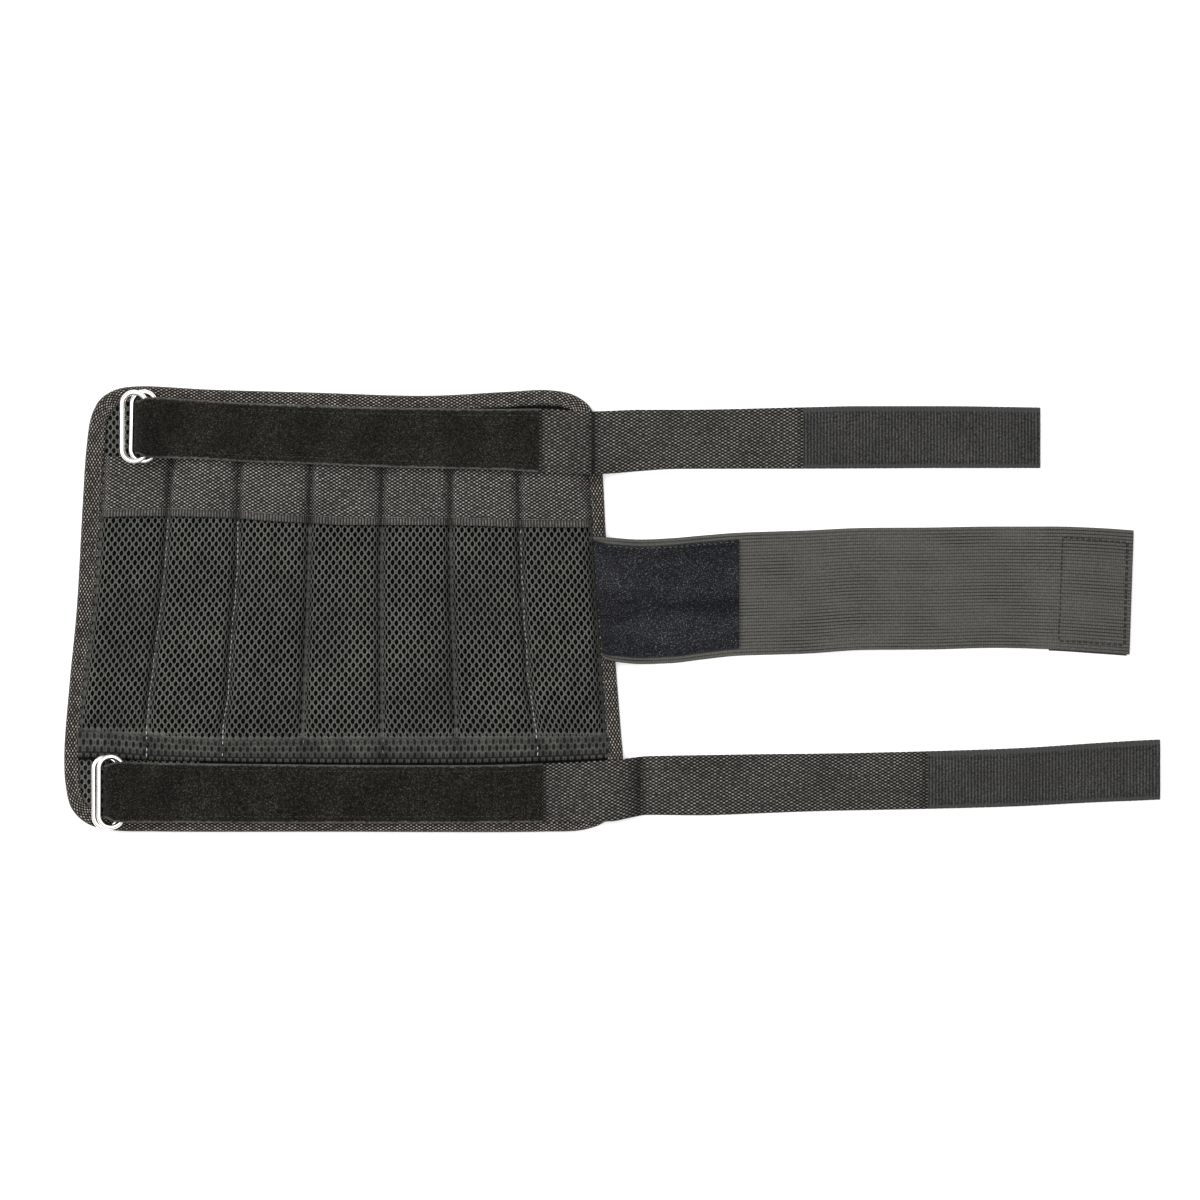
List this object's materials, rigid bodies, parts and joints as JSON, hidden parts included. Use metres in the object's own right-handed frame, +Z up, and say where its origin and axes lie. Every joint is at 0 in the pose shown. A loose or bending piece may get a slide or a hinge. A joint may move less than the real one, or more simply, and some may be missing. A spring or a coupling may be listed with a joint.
{
  "type": "strap-on leg weight",
  "caption": "Flat tapered leg-weight cuff with a row of open mesh pockets, ring-folded webbing straps with hook-and-loop tape, and a wide elastic strap.",
  "frame": {"origin": "middle of the bounding box on the surface that the object lies on", "axes": "+X along the straps towards their free ends, +Y towards the pocket mouths, +Z up out of the pockets' side"},
  "size_m": [0.5482, 0.2229, 0.0209],
  "materials": {
    "spacer_mesh": "open spacer mesh, matt charcoal",
    "pocket_mesh": "warp-knit mesh with oval holes, matt charcoal",
    "binding_tape": "plain-weave tape, charcoal with pale yarn crowns",
    "webbing": "woven polypropylene webbing, charcoal, slight sheen",
    "loop_tape": "black velvet loop pile",
    "hook_tape": "black hook tape, fine nap of hooks",
    "elastic": "ribbed woven elastic, charcoal",
    "loop_patch": "navy-black loop pile",
    "chrome": "polished nickel-plated steel wire"
  },
  "bodies": {
    "root": {"base_panel": "spacer_mesh", "edge_binding": "binding_tape", "pocket_1": "pocket_mesh", "pocket_2": "pocket_mesh", "pocket_3": "pocket_mesh", "pocket_4": "pocket_mesh", "pocket_5": "pocket_mesh", "pocket_6": "pocket_mesh", "pocket_7": "pocket_mesh", "pocket_hem": "pocket_mesh", "pocket_band_1": "webbing", "pocket_band_2": "webbing", "pocket_band_3": "webbing", "strap_top_fold": "webbing", "strap_top": "webbing", "strap_top_tail": "webbing", "loop_strip_top": "loop_tape", "hook_strip_top": "hook_tape", "ring_top_a": "chrome", "ring_top_b": "chrome", "strap_bottom_fold": "webbing", "strap_bottom": "webbing", "strap_bottom_tail": "webbing", "loop_strip_bottom": "loop_tape", "hook_strip_bottom": "hook_tape", "ring_bottom_a": "chrome", "ring_bottom_b": "chrome", "elastic_band": "elastic", "loop_patch": "loop_patch", "hook_patch": "hook_tape"}
  },
  "joints": []
}
